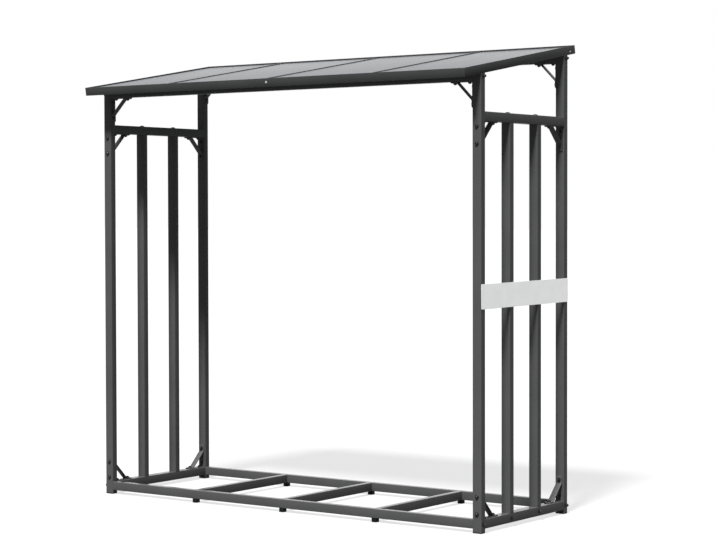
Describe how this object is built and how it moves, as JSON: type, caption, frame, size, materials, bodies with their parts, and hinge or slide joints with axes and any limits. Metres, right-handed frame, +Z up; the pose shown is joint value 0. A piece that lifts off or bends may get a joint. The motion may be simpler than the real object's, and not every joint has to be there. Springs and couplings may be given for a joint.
{
  "type": "log store",
  "caption": "Open steel log store: rectangular-tube posts, slatted sides and joisted base under a sloping sheet roof with standing seams.",
  "frame": {"origin": "on the ground, under the middle of the roof's outline", "axes": "+X to the right along the width seen from the open front, +Y from the front to the back, +Z up"},
  "size_m": [1.852, 0.791, 1.8149],
  "materials": {
    "powder_coat": "fine-textured matt anthracite powder coat",
    "roof_sheet": "satin anthracite coated sheet",
    "black_plastic": "moulded black plastic",
    "zinc": "zinc-plated fasteners",
    "white_plate": "white lacquered sheet"
  },
  "bodies": {
    "root": {"front_left_post": "powder_coat", "front_right_post": "powder_coat", "back_left_post": "powder_coat", "back_right_post": "powder_coat", "front_left_cap": "black_plastic", "front_right_cap": "black_plastic", "back_left_cap": "black_plastic", "back_right_cap": "black_plastic", "left_front_slat": "powder_coat", "left_back_slat": "powder_coat", "right_front_slat": "powder_coat", "right_back_slat": "powder_coat", "left_top_rail": "powder_coat", "right_top_rail": "powder_coat", "front_base_rail": "powder_coat", "back_base_rail": "powder_coat", "left_base_rail": "powder_coat", "right_base_rail": "powder_coat", "left_joist": "powder_coat", "middle_joist": "powder_coat", "right_joist": "powder_coat", "joist_feet": "black_plastic", "front_beam": "powder_coat", "back_beam": "powder_coat", "roof_panel_1": "roof_sheet", "roof_panel_2": "roof_sheet", "roof_panel_3": "roof_sheet", "roof_panel_4": "roof_sheet", "front_edge": "powder_coat", "back_edge": "powder_coat", "left_edge": "powder_coat", "right_edge": "powder_coat", "front_left_beam_brace": "powder_coat", "front_right_beam_brace": "powder_coat", "back_left_beam_brace": "powder_coat", "back_right_beam_brace": "powder_coat", "left_front_upper_brace": "powder_coat", "left_back_upper_brace": "powder_coat", "right_front_upper_brace": "powder_coat", "right_back_upper_brace": "powder_coat", "left_front_lower_brace": "powder_coat", "left_back_lower_brace": "powder_coat", "right_front_lower_brace": "powder_coat", "right_back_lower_brace": "powder_coat"}
  },
  "joints": []
}
